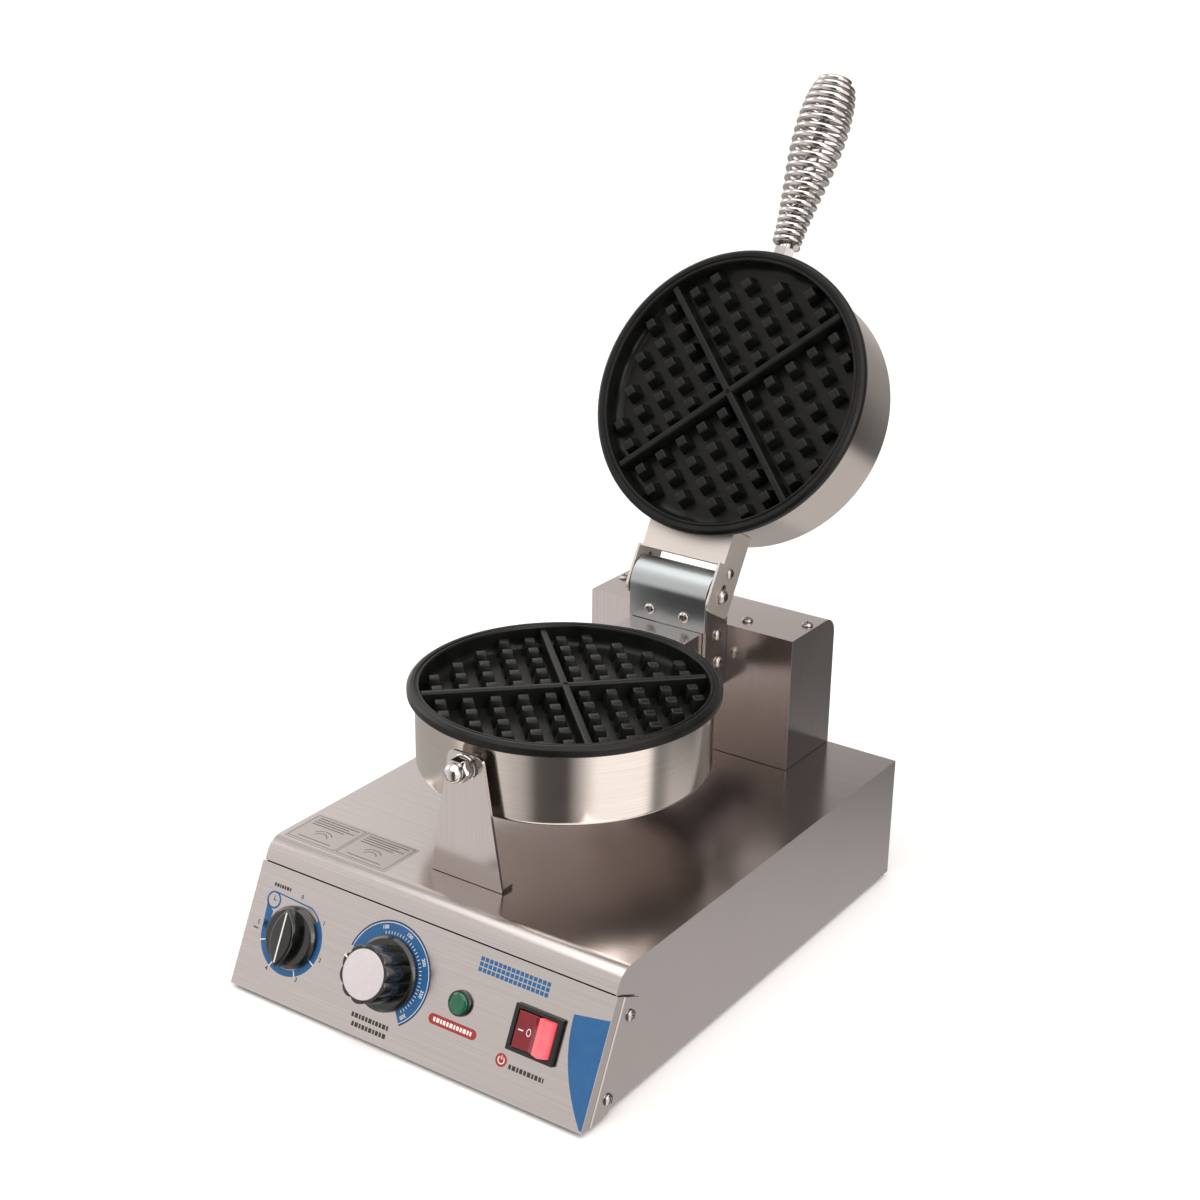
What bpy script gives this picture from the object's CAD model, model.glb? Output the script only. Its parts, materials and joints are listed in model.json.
"""Looks of a round waffle maker with a hinged lid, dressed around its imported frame.

Each sub-assembly is a class that holds its sizes and builds and dresses its own pieces. Sizes that end in
_mm, and every outline and profile, are in millimetres; the frame and the finished pieces are in metres.
"""
import json
import logging
import math
from collections.abc import Iterable, Sequence
from dataclasses import dataclass, field
from enum import Enum

import bmesh
import bpy
from mathutils import Matrix, Vector


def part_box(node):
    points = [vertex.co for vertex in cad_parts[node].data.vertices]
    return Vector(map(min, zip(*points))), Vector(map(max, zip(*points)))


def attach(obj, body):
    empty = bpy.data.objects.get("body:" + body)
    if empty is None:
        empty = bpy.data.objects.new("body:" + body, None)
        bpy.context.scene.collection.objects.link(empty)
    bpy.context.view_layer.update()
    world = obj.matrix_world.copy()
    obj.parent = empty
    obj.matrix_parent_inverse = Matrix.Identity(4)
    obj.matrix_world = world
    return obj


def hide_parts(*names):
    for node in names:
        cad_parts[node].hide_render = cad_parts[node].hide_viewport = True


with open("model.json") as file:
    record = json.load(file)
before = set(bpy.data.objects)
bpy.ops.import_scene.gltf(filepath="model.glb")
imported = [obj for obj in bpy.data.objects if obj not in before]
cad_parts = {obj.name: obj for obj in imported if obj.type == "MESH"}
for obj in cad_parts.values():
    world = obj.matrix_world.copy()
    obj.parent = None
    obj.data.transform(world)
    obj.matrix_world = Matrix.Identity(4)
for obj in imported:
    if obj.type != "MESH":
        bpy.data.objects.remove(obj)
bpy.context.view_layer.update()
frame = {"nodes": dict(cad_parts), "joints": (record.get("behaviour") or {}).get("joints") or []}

MM = 0.001
TO_METRES = Matrix.Scale(MM, 4)
log = logging.getLogger("waffle_maker")
# Most of a noise lies between these values.
MIDDLE_OF_NOISE = (0.3, 0.7)

Point = tuple[float, float]
Rgba = tuple[float, float, float, float]
Tree = bpy.types.NodeTree
Node = bpy.types.Node
Socket = bpy.types.NodeSocket
Piece = bpy.types.Object


class Body(Enum):
    """The bodies that pieces ride on."""

    BASE = "base"
    LID = "lid"
    TIMER = "timer_knob"
    THERMOSTAT = "temperature_knob"
    ROCKER = "rocker"


# ---------------------------------------------------------------- nodes and colours
def linear(hex_code: str) -> Rgba:
    """Turn an sRGB hex colour into linear RGBA.

    Args:
        hex_code: six hex digits.

    Returns:
        The colour as Blender's sockets take it.
    """
    channels = [int(hex_code[i:i + 2], 16) / 255 for i in (0, 2, 4)]
    turned = [c / 12.92 if c <= 0.04045 else ((c + 0.055) / 1.055) ** 2.4 for c in channels]
    return (*turned, 1.0)


def add_node(tree: Tree, kind: str, inputs: dict | None = None, **settings: object) -> Node:
    """Add one node with its settings and its links.

    Args:
        tree: the node tree it goes in.
        kind: Blender's name of the node type.
        inputs: a value or another node's socket for each input, by name or number.
        **settings: properties of the node itself.

    Returns:
        The new node.
    """
    made = tree.nodes.new(kind)
    for name, value in settings.items():
        setattr(made, name, value)
    for key, value in (inputs or {}).items():
        if isinstance(value, Socket):
            tree.links.new(value, made.inputs[key])
        else:
            made.inputs[key].default_value = value
    return made


def grain(tree: Tree, size_mm: Sequence[float], tilt_deg: float = 0, detail: float = 3) -> Socket:
    """Make noise whose grains have a real length along each axis.

    Args:
        tree: the material's node tree.
        size_mm: grain length along x, y and z.
        tilt_deg: how far the grain's axes are turned about x.
        detail: octaves of finer noise.

    Returns:
        The noise value, about 0.5 on average.
    """
    place = add_node(tree, "ShaderNodeTexCoord").outputs["Object"]
    size = [s * MM for s in size_mm]
    settings = {"Vector": place, "Rotation": (math.radians(tilt_deg), 0, 0), "Scale": size}
    scaled = add_node(tree, "ShaderNodeMapping", settings, vector_type="TEXTURE")
    settings = {"Vector": scaled.outputs[0], "Scale": 1.0, "Detail": detail}
    return add_node(tree, "ShaderNodeTexNoise", settings).outputs[0]


# ---------------------------------------------------------------- finishes
@dataclass(frozen=True)
class Finish:
    """A surface with its colour, gloss and the slot of the record that it answers to."""

    name: str
    slot: str
    hex_code: str
    roughness: float
    metallic: float = 0.0
    coat: float = 0.0

    def material(self) -> bpy.types.Material:
        """Build the material the first time, and find it again after that.

        Returns:
            The material.
        """
        made = bpy.data.materials.get(self.name)
        if made is None:
            made = bpy.data.materials.new(self.name)
            made.use_nodes = True
            shader = made.node_tree.nodes["Principled BSDF"]
            shader.inputs["Base Color"].default_value = linear(self.hex_code)
            shader.inputs["Metallic"].default_value = self.metallic
            shader.inputs["Roughness"].default_value = self.roughness
            shader.inputs["Coat Weight"].default_value = self.coat
            self.pattern(made.node_tree, shader)
        return made

    def pattern(self, tree: Tree, shader: Node) -> None:
        """Add what breaks up the plain colour; each kind of finish has its own."""
        raise NotImplementedError

    def tint(self, tree: Tree, shader: Node, noise: Socket, hex_code: str, most: float = 1.0,
             middle: Point = MIDDLE_OF_NOISE) -> Socket:
        """Blend the finish's colour towards another one where a noise is high.

        Args:
            tree: the material's node tree.
            shader: its surface shader.
            noise: value between 0 and 1.
            hex_code: the other colour.
            most: share of it where the noise is highest.
            middle: stretch of the noise that the blend covers.

        Returns:
            The blended colour.
        """
        limits = {"Value": noise, "From Min": middle[0], "From Max": middle[1], "To Max": most}
        share = add_node(tree, "ShaderNodeMapRange", limits).outputs[0]
        mix = {0: share, 6: linear(self.hex_code), 7: linear(hex_code)}
        colour = add_node(tree, "ShaderNodeMix", mix, data_type="RGBA").outputs[2]
        tree.links.new(colour, shader.inputs["Base Color"])
        return colour

    def vary_gloss(self, tree: Tree, shader: Node, noise: Socket, least: float, most: float) -> None:
        """Let the roughness wander between two shares of the finish's own.

        Args:
            tree: the material's node tree.
            shader: its surface shader.
            noise: value between 0 and 1.
            least: share where the noise is low.
            most: share where it is high.
        """
        low, high = MIDDLE_OF_NOISE
        limits = {"Value": noise, "From Min": low, "From Max": high, "To Min": self.roughness * least,
                  "To Max": self.roughness * most}
        rough = add_node(tree, "ShaderNodeMapRange", limits).outputs[0]
        tree.links.new(rough, shader.inputs["Roughness"])

    def relief(self, tree: Tree, shader: Node, height: Socket, depth_mm: float) -> None:
        """Press a height pattern of a real depth into the surface.

        Args:
            tree: the material's node tree.
            shader: its surface shader.
            height: the pattern.
            depth_mm: its depth.
        """
        pressed = {"Height": height, "Strength": 1.0, "Distance": depth_mm * MM}
        bump = add_node(tree, "ShaderNodeBump", pressed)
        tree.links.new(bump.outputs[0], shader.inputs["Normal"])


@dataclass(frozen=True)
class BrushedSteel(Finish):
    """Rolled or spun stainless steel: long fine scratches that smear every reflection along them.

    A real scratch is some hundredths of a millimetre wide; these are as coarse as they need to be to show.
    """

    dark_hex: str = "a29a98"
    scratch_mm: tuple[float, float, float] = (90.0, 0.35, 0.35)
    depth_mm: float = 0.0006
    tilt_deg: float = 0.0
    contrast: float = 0.3

    def pattern(self, tree: Tree, shader: Node) -> None:
        """Put scratches in the colour and relief, over handling marks a few centimetres across.

        Args:
            tree: the material's node tree.
            shader: its surface shader.
        """
        scratches = grain(tree, self.scratch_mm, self.tilt_deg, 4)
        marks = grain(tree, (45, 45, 45), self.tilt_deg, 2)
        self.tint(tree, shader, scratches, self.dark_hex, self.contrast)
        self.vary_gloss(tree, shader, marks, 0.95, 1.06)
        self.relief(tree, shader, scratches, self.depth_mm)


@dataclass(frozen=True)
class Plated(Finish):
    """Bright chromium or zinc plate: a mirror with faint polishing waves and fingerprints."""

    smudge_hex: str = "b9b4b1"
    wave_mm: float = 6.0

    def pattern(self, tree: Tree, shader: Node) -> None:
        """Smudge the gloss and put a slow wave in the surface.

        Args:
            tree: the material's node tree.
            shader: its surface shader.
        """
        smudge = grain(tree, (9, 9, 9), 0, 4)
        self.vary_gloss(tree, shader, smudge, 0.6, 1.8)
        self.tint(tree, shader, smudge, self.smudge_hex, middle=(0.0, 1.0))
        self.relief(tree, shader, grain(tree, (self.wave_mm,) * 3, 0, 1), 0.02)


@dataclass(frozen=True)
class Coated(Finish):
    """Sprayed non-stick coating on a casting: near black, satin, with the coating's fine orange peel."""

    peel_mm: float = 0.9
    specular: float = 0.22
    light_hex: str = "1c1c1b"

    def pattern(self, tree: Tree, shader: Node) -> None:
        """Put orange peel in the relief, and paler patches where the coating lies thicker.

        Args:
            tree: the material's node tree.
            shader: its surface shader.
        """
        shader.inputs["Specular IOR Level"].default_value = self.specular
        peel = grain(tree, (self.peel_mm,) * 3, 0, 2)
        patches = grain(tree, (14, 14, 14), 0, 3)
        self.tint(tree, shader, patches, self.light_hex, 0.7)
        self.vary_gloss(tree, shader, patches, 0.85, 1.2)
        self.relief(tree, shader, peel, 0.035)


@dataclass(frozen=True)
class Moulded(Finish):
    """Moulded plastic, rubber or ceramic: even colour with slow flow marks and a fine skin."""

    skin_mm: float = 1.2
    skin_depth_mm: float = 0.006
    flow_hex: str = "262826"
    glow: float = 0.0

    def pattern(self, tree: Tree, shader: Node) -> None:
        """Put flow marks in colour and gloss, a fine skin in the relief, and light behind where it is lit.

        Args:
            tree: the material's node tree.
            shader: its surface shader.
        """
        flow = grain(tree, (7, 7, 16), 0, 3)
        colour = self.tint(tree, shader, flow, self.flow_hex, 0.6)
        self.vary_gloss(tree, shader, flow, 0.85, 1.2)
        self.relief(tree, shader, grain(tree, (self.skin_mm,) * 3, 0, 2), self.skin_depth_mm)
        if self.glow:
            tree.links.new(colour, shader.inputs["Emission Color"])
            shader.inputs["Emission Strength"].default_value = self.glow


@dataclass(frozen=True)
class Printed(Finish):
    """Screen-printed ink: flat and slightly uneven where the mesh left more or less of it.

    The mesh of a real screen is about 0.1 mm; here it is 0.6 mm, so that it shows.
    """

    thin_hex: str = "216294"

    def pattern(self, tree: Tree, shader: Node) -> None:
        """Put thin and thick ink in soft patches, with the screen's mesh faintly in relief.

        Args:
            tree: the material's node tree.
            shader: its surface shader.
        """
        patches = grain(tree, (5, 5, 5), 0, 4)
        self.tint(tree, shader, patches, self.thin_hex, 0.45)
        self.relief(tree, shader, grain(tree, (0.6, 0.6, 0.6), 0, 1), 0.003)


# Rolled stainless sheet, brushed along the fold: a soft mirror, smeared across the brushing.
SHEET_STEEL = BrushedSteel("brushed_sheet_steel", "brushed_steel", "cfc8c6", 0.2, 1.0)
# The same sheet with a rougher satin finish: it stays light whatever it faces.
ARM_STEEL = BrushedSteel("satin_arm_steel", "brushed_steel", "e0d8d2", 0.46, 0.85, contrast=0.15)
# The same sheet brushed upright, on the tower and the front bracket.
UPRIGHT_STEEL = BrushedSteel(
    "brushed_upright_steel", "brushed_steel", "cbc3c1", 0.19, 1.0, scratch_mm=(0.35, 0.35, 90.0))
# Spun and polished cups: rings round the wall, and tall sharp bands of light and dark.
SPUN_STEEL = BrushedSteel(
    "spun_casing_steel", "polished_steel", "e8dfd8", 0.15, 1.0, dark_hex="bab2aa",
    scratch_mm=(70.0, 70.0, 0.3))
SPUN_LID_STEEL = BrushedSteel(
    "spun_lid_steel", "polished_steel", "e0d8d2", 0.18, 1.0, dark_hex="b6aca4",
    scratch_mm=(70.0, 70.0, 0.3), tilt_deg=-120.0)
# Cold-rolled and polished guard: bluer and cloudier than the sheet round it.
POLISHED_GUARD = BrushedSteel(
    "polished_guard_steel", "polished_steel", "c2c8ca", 0.3, 1.0, dark_hex="9aa2a5",
    scratch_mm=(60.0, 0.5, 0.5), depth_mm=0.0008)
# Electroplated chromium: a near-perfect mirror.
CHROME = Plated("bright_chrome_plate", "chrome", "e6e2e0", 0.06, 1.0)
# Zinc-plated steel: bright on the screws, dull and grey on pressed parts inside.
SCREW_PLATE = Plated("zinc_plated_screws", "chrome", "c4bdb8", 0.2, 1.0)
ZINC = Plated("zinc_plate", "zinc", "a8a8a4", 0.38, 1.0)
# Sprayed and baked non-stick coating on cast aluminium: near black with a low satin sheen.
NONSTICK = Coated("sprayed_nonstick_coating", "nonstick", "10100f", 0.3)
# Moulded phenolic: black, with a hard gloss like lacquer; the switch frame is nylon and duller.
BAKELITE = Moulded("moulded_black_phenolic", "black_gloss", "0b0c0b", 0.16, coat=0.5, flow_hex="151715")
SWITCH_BLACK = Moulded("moulded_switch_frame", "black_gloss", "121412", 0.3, flow_hex="1d201d")
# Spun aluminium disc: pale and satin, part metal and part frosted skin.
CAP_ALUMINIUM = BrushedSteel(
    "spun_aluminium_cap", "silver_cap", "ded6d9", 0.42, 0.6, dark_hex="cac2c5", scratch_mm=(3.0, 3.0, 3.0))
# Translucent polycarbonate: deep colour under a clear gloss, a little light coming through.
GREEN_LENS = Moulded(
    "translucent_green_lens", "green_lens", "0a5036", 0.14, coat=0.4, flow_hex="0f6244", glow=0.05)
RED_ROCKER = Moulded(
    "translucent_red_rocker", "red_rocker", "6a0b15", 0.16, coat=0.4, flow_hex="7d101d", glow=0.12)
# The same moulding over its neon lamp: pale and warm.
LIT_ROCKER = Moulded(
    "lit_end_of_rocker", "red_rocker", "e8525c", 0.25, coat=0.2, flow_hex="ee6a70", glow=0.45)
# Moulded rubber: matt and dusty.
RUBBER = Moulded("moulded_rubber", "rubber", "1c1c1c", 0.7, flow_hex="262626", skin_depth_mm=0.02)
# Fired ceramic: cream, dry and slightly grainy.
CERAMIC = Moulded("fired_ceramic", "ceramic", "e2dccd", 0.55, flow_hex="cfc8b6", skin_depth_mm=0.02)
# Pressed ceramic wool: soft, uneven and quite matt.
WOOL = Moulded(
    "pressed_ceramic_wool", "wool", "d9d4c6", 0.95, flow_hex="bdb7a6", skin_mm=2.0, skin_depth_mm=0.6)
# Screen-printing inks: flat colours with a slight sheen.
BLUE_INK = Printed("printed_blue_ink", "black_gloss", "1b5688", 0.42)
DARK_INK = Printed("printed_dark_ink", "black_gloss", "2b2829", 0.45, thin_hex="3d393a")
RED_INK = Printed("printed_red_ink", "black_gloss", "962522", 0.42, thin_hex="a43a36")
PALE_INK = Printed("printed_pale_ink", "black_gloss", "e9e4e2", 0.45, thin_hex="d8d2d0")
# Silver polyester film, printed: greyer than the steel it sticks to.
STICKER = Printed("printed_film_sticker", "black_gloss", "a59d9a", 0.35, thin_hex="9c9491")


# ---------------------------------------------------------------- shapes
def arc(centre: Point, radius: float, from_deg: float, to_deg: float, steps: int) -> list[Point]:
    """Points along an arc, ends included.

    Args:
        centre: the arc's centre.
        radius: its radius.
        from_deg: first angle.
        to_deg: last angle.
        steps: stretches between points.

    Returns:
        The points.
    """
    angles = [math.radians(from_deg + (to_deg - from_deg) * i / steps) for i in range(steps + 1)]
    return [(centre[0] + radius * math.cos(a), centre[1] + radius * math.sin(a)) for a in angles]


def rounded(corners: Iterable[Sequence[float]], steps: int = 5) -> list[Point]:
    """Round the corners of an open line of points.

    Args:
        corners: (a, b) or (a, b, radius) for each corner; the ends stay sharp.
        steps: stretches in each rounding.

    Returns:
        The line with an arc at each rounded corner.
    """
    given = [(Vector(c[:2]), c[2] if len(c) > 2 else 0.0) for c in corners]
    made: list[Point] = []
    for i, (corner, radius) in enumerate(given):
        if radius == 0.0 or i in (0, len(given) - 1):
            made.append(tuple(corner))
            continue
        back = (given[i - 1][0] - corner)
        ahead = (given[i + 1][0] - corner)
        half = back.angle(ahead) / 2
        reach = min(radius / math.tan(half), back.length * 0.5, ahead.length * 0.5)
        first, last = corner + back.normalized() * reach, corner + ahead.normalized() * reach
        for k in range(steps + 1):
            t = k / steps
            made.append(tuple((1 - t) ** 2 * first + 2 * t * (1 - t) * corner + t ** 2 * last))
    return made


class Shape:
    """Closed shells in millimetres, gathered into one mesh and placed once."""

    def __init__(self) -> None:
        """Start with no shells."""
        self.mesh = bmesh.new()

    def add(self, points: Sequence[Sequence[float]], faces: Iterable[Sequence[int]], place: Matrix) -> None:
        """Add one shell.

        Args:
            points: its corners.
            faces: corner numbers of each face.
            place: where it goes.
        """
        corners = [self.mesh.verts.new(place @ Vector(p)) for p in points]
        made = [self.mesh.faces.new([corners[i] for i in face]) for face in faces]
        bmesh.ops.recalc_face_normals(self.mesh, faces=made)

    def turned(self, profile: Sequence[Point], steps: int = 96, place: Matrix = Matrix()) -> "Shape":
        """Add a body turned about z.

        Args:
            profile: (radius, height) from axis to axis, or a closed section off the axis.
            steps: facets round the axis.
            place: where it goes.

        Returns:
            The shape itself.
        """
        points: list[Sequence[float]] = []
        rings: list[list[int]] = []
        for radius, height in profile:
            count = 1 if radius < 1e-6 else steps
            rings.append(list(range(len(points), len(points) + count)))
            for i in range(count):
                angle = 2 * math.pi * i / steps
                points.append((radius * math.cos(angle), radius * math.sin(angle), height))
        pairs = list(zip(rings, rings[1:]))
        if len(rings[0]) > 1:
            pairs.append((rings[-1], rings[0]))
        faces = []
        for low, high in pairs:
            for i in range(steps):
                j = (i + 1) % steps
                corners = [low[i % len(low)], low[j % len(low)], high[j % len(high)], high[i % len(high)]]
                faces.append(list(dict.fromkeys(corners)))
        self.add(points, [face for face in faces if len(face) > 2], place)
        return self

    def prism(self, outline: Sequence[Point], low: float, high: float, place: Matrix = Matrix()) -> "Shape":
        """Add a flat outline raised between two heights.

        Args:
            outline: its corners in x and y.
            low: lower height.
            high: upper height.
            place: where it goes.

        Returns:
            The shape itself.
        """
        count = len(outline)
        points = [(x, y, z) for z in (low, high) for x, y in outline]
        sides = [(i, (i + 1) % count, count + (i + 1) % count, count + i) for i in range(count)]
        self.add(points, [tuple(range(count)), tuple(range(count, 2 * count)), *sides], place)
        return self

    def bar(self, x: Point, y: Point, z: Point, place: Matrix = Matrix()) -> "Shape":
        """Add a box between pairs of x, y and z, and return the shape."""
        return self.prism([(x[0], y[0]), (x[1], y[0]), (x[1], y[1]), (x[0], y[1])], z[0], z[1], place)

    def sector(self, centre: Point, radii: Point, angles: Point, low: float, high: float) -> "Shape":
        """Add a flat piece of a ring.

        Args:
            centre: the ring's centre.
            radii: inner and outer radius.
            angles: first and last angle, in degrees.
            low: lower height.
            high: upper height.

        Returns:
            The shape itself.
        """
        steps = max(4, round(abs(angles[1] - angles[0]) / 4))
        inner = arc(centre, radii[0], angles[0], angles[1], steps)
        outer = arc(centre, radii[1], angles[1], angles[0], steps)
        return self.prism(inner + outer, low, high)

    def text(self, words: str, centre: Point, size_mm: float, height: float, turn_deg: float = 0) -> "Shape":
        """Add flat lettering on its own centre.

        Args:
            words: what it says.
            centre: its middle.
            size_mm: the letters' nominal size.
            height: how far it stands up from zero.
            turn_deg: its turn about its middle.

        Returns:
            The shape itself.
        """
        curve = bpy.data.curves.new("lettering", "FONT")
        curve.body = words
        curve.size = size_mm
        curve.align_x = "CENTER"
        curve.align_y = "CENTER"
        curve.extrude = height / 2
        curve.resolution_u = 3
        curve.offset = size_mm * 0.012
        text = bpy.data.objects.new("lettering", curve)
        bpy.context.scene.collection.objects.link(text)
        made = bpy.data.meshes.new_from_object(text.evaluated_get(bpy.context.evaluated_depsgraph_get()))
        turn = Matrix.Rotation(math.radians(turn_deg), 4, "Z")
        made.transform(Matrix.Translation((*centre, height / 2)) @ turn)
        self.mesh.from_mesh(made)
        bpy.data.objects.remove(text)
        bpy.data.meshes.remove(made)
        bpy.data.curves.remove(curve)
        return self

    def place(self, name: str, place: Matrix, sharp_deg: float = 35.0) -> Piece:
        """Turn the shells into an object whose place is in its mesh.

        Args:
            name: the object's name.
            place: from the shape's frame to the part's frame, in metres.
            sharp_deg: edges sharper than this stay crisp.

        Returns:
            The object.
        """
        made = bpy.data.meshes.new(name)
        bmesh.ops.remove_doubles(self.mesh, verts=self.mesh.verts, dist=1e-5)
        self.mesh.to_mesh(made)
        self.mesh.free()
        made.transform(place @ TO_METRES)
        made.shade_smooth()
        made.set_sharp_from_angle(angle=math.radians(sharp_deg))
        return as_object(name, made)


def as_object(name: str, mesh: bpy.types.Mesh) -> Piece:
    """Link a mesh into the scene as an object at the origin.

    Args:
        name: the object's name.
        mesh: its mesh.

    Returns:
        The object.
    """
    made = bpy.data.objects.new(name, mesh)
    bpy.context.scene.collection.objects.link(made)
    return made


def soften(piece: Piece, width_mm: float, segments: int = 2) -> Piece:
    """Round a piece's sharp edges a little, so that they catch the light.

    Args:
        piece: the piece.
        width_mm: the rounding's width.
        segments: facets across it.

    Returns:
        The same piece.
    """
    piece.data.shade_smooth()
    bevel = piece.modifiers.new("edge_rounding", "BEVEL")
    bevel.width = width_mm * MM
    bevel.segments = segments
    bevel.limit_method = "ANGLE"
    bevel.angle_limit = math.radians(32)
    flatten = piece.modifiers.new("flat_faces_stay_flat", "WEIGHTED_NORMAL")
    flatten.keep_sharp = True
    return piece


def folded_copy(node: str, width_mm: float, segments: int = 2) -> Piece:
    """Copy a CAD node with its faces joined up and its edges rounded.

    Args:
        node: the CAD node.
        width_mm: the rounding's width.
        segments: facets across it.

    Returns:
        The copy.
    """
    shell = bmesh.new()
    shell.from_mesh(frame["nodes"][node].data)
    bmesh.ops.remove_doubles(shell, verts=shell.verts, dist=2e-6)
    bmesh.ops.dissolve_limit(shell, angle_limit=math.radians(0.5), verts=shell.verts, edges=shell.edges)
    made = bpy.data.meshes.new(f"{node}_formed")
    shell.to_mesh(made)
    shell.free()
    made.materials.clear()
    return soften(as_object(f"{node}_formed", made), width_mm, segments)


def box_in(place: Matrix, node: str) -> tuple[Vector, Vector]:
    """Lowest and highest corners of a CAD node in another frame, in millimetres.

    Args:
        place: that frame, as seen from the part's frame.
        node: the CAD node.

    Returns:
        The two corners.
    """
    back = place.inverted()
    points = [back @ v.co / MM for v in frame["nodes"][node].data.vertices]
    low = Vector([min(p[i] for p in points) for i in range(3)])
    high = Vector([max(p[i] for p in points) for i in range(3)])
    return low, high


# ---------------------------------------------------------------- what repeats, by Geometry Nodes
class RepeatTree:
    """A Geometry Nodes tree with named inputs, run once on a source mesh."""

    def __init__(self, name: str, inputs: dict[str, str]) -> None:
        """Make the empty tree.

        Args:
            name: the tree's name.
            inputs: socket type of each named input.
        """
        self.tree = bpy.data.node_groups.new(name, "GeometryNodeTree")
        interface = self.tree.interface
        interface.new_socket("Geometry", in_out="INPUT", socket_type="NodeSocketGeometry")
        for label, kind in inputs.items():
            interface.new_socket(label, in_out="INPUT", socket_type=kind)
        interface.new_socket("Geometry", in_out="OUTPUT", socket_type="NodeSocketGeometry")
        self.entry = self.node("NodeGroupInput").outputs

    def node(self, kind: str, inputs: dict | None = None, **settings: object) -> Node:
        """Add a node to this tree and return it."""
        return add_node(self.tree, kind, inputs, **settings)

    def close(self, geometry: Socket) -> None:
        """End the tree: real geometry, with its finish, at the output.

        Args:
            geometry: what the tree has made.
        """
        real = self.node("GeometryNodeRealizeInstances", {0: geometry})
        dressed = self.node("GeometryNodeSetMaterial", {
            "Geometry": real.outputs[0], "Material": self.entry["Finish"]})
        self.node("NodeGroupOutput", {0: dressed.outputs[0]})

    def run(self, name: str, source: bpy.types.Mesh, values: dict[str, object], place: Matrix) -> Piece:
        """Run the tree on a mesh and keep the result as a plain mesh.

        Args:
            name: the new object's name.
            source: mesh that the tree starts from.
            values: the named inputs.
            place: from the tree's frame to the part's frame.

        Returns:
            The new object.
        """
        carrier = as_object(f"{name}_source", source)
        modifier = carrier.modifiers.new("repeat", "NODES")
        modifier.node_group = self.tree
        for item in self.tree.interface.items_tree:
            if item.in_out == "INPUT" and item.name in values:
                modifier[item.identifier] = values[item.name]
        bpy.context.view_layer.update()
        result = carrier.evaluated_get(bpy.context.evaluated_depsgraph_get())
        made = bpy.data.meshes.new_from_object(result)
        carrier.modifiers.remove(modifier)
        bpy.data.objects.remove(carrier)
        made.name = name
        made.transform(place)
        made.shade_smooth()
        made.set_sharp_from_angle(angle=math.radians(35))
        return as_object(name, made)


def copies_tree() -> RepeatTree:
    """Build the tree that puts one shape on each point, turned as the point's own attribute says.

    Returns:
        The tree.
    """
    made = RepeatTree("copies_on_points", {"Shape": "NodeSocketObject", "Finish": "NodeSocketMaterial"})
    shape = made.node("GeometryNodeObjectInfo", {"Object": made.entry["Shape"]})
    turn = made.node("GeometryNodeInputNamedAttribute", {"Name": "turn"}, data_type="FLOAT_VECTOR")
    placed = made.node("GeometryNodeInstanceOnPoints", {
        "Points": made.entry["Geometry"], "Instance": shape.outputs["Geometry"], "Rotation": turn.outputs[0]})
    made.close(placed.outputs[0])
    return made


def copies(name: str, shape: Piece, spots: Sequence[Matrix], finish: Finish) -> Piece:
    """Repeat a shape at several places as one mesh.

    Args:
        name: the new object's name.
        shape: the shape, which is used up.
        spots: place and turn of each copy, in metres.
        finish: its finish.

    Returns:
        The new object.
    """
    points = bpy.data.meshes.new("spots")
    points.from_pydata([spot.to_translation() for spot in spots], [], [])
    turns = points.attributes.new("turn", "FLOAT_VECTOR", "POINT")
    for i, spot in enumerate(spots):
        turns.data[i].vector = spot.to_euler()
    values = {"Shape": shape, "Finish": finish.material()}
    made = COPIES.run(name, points, values, Matrix())
    bpy.data.objects.remove(shape)
    return made


COPIES = copies_tree()


# ---------------------------------------------------------------- sub-assemblies
class Assembly:
    """A group of pieces that ride on one body or another and are dressed in finishes."""

    def dress(self, piece: Piece, finish: Finish, body: Body, *nodes: str) -> Piece:
        """Give a piece its finish and its body, and name the CAD nodes it stands for.

        Args:
            piece: the finished piece.
            finish: its finish.
            body: the body it rides on.
            *nodes: CAD nodes that it replaces.

        Returns:
            The same piece.
        """
        if not piece.data.materials:
            piece.data.materials.append(finish.material())
        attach(piece, body.value)
        if nodes:
            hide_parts(*nodes)
        log.info("%s: %s on %s", piece.name, finish.name, body.value)
        return piece

    def keep(self, finish: Finish, *nodes: str) -> None:
        """Keep CAD nodes as they are and give them a finish.

        Args:
            finish: the finish.
            *nodes: the CAD nodes.
        """
        for node in nodes:
            held = frame["nodes"][node].data.materials
            held.clear()
            held.append(finish.material())
            log.info("%s: %s", node, finish.name)


class Axis(Enum):
    """Directions that a screw's head may face."""

    LEFT = (-1, 0, 0)
    RIGHT = (1, 0, 0)
    FRONT = (0, -1, 0)
    TOP = (0, 0, 1)


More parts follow.
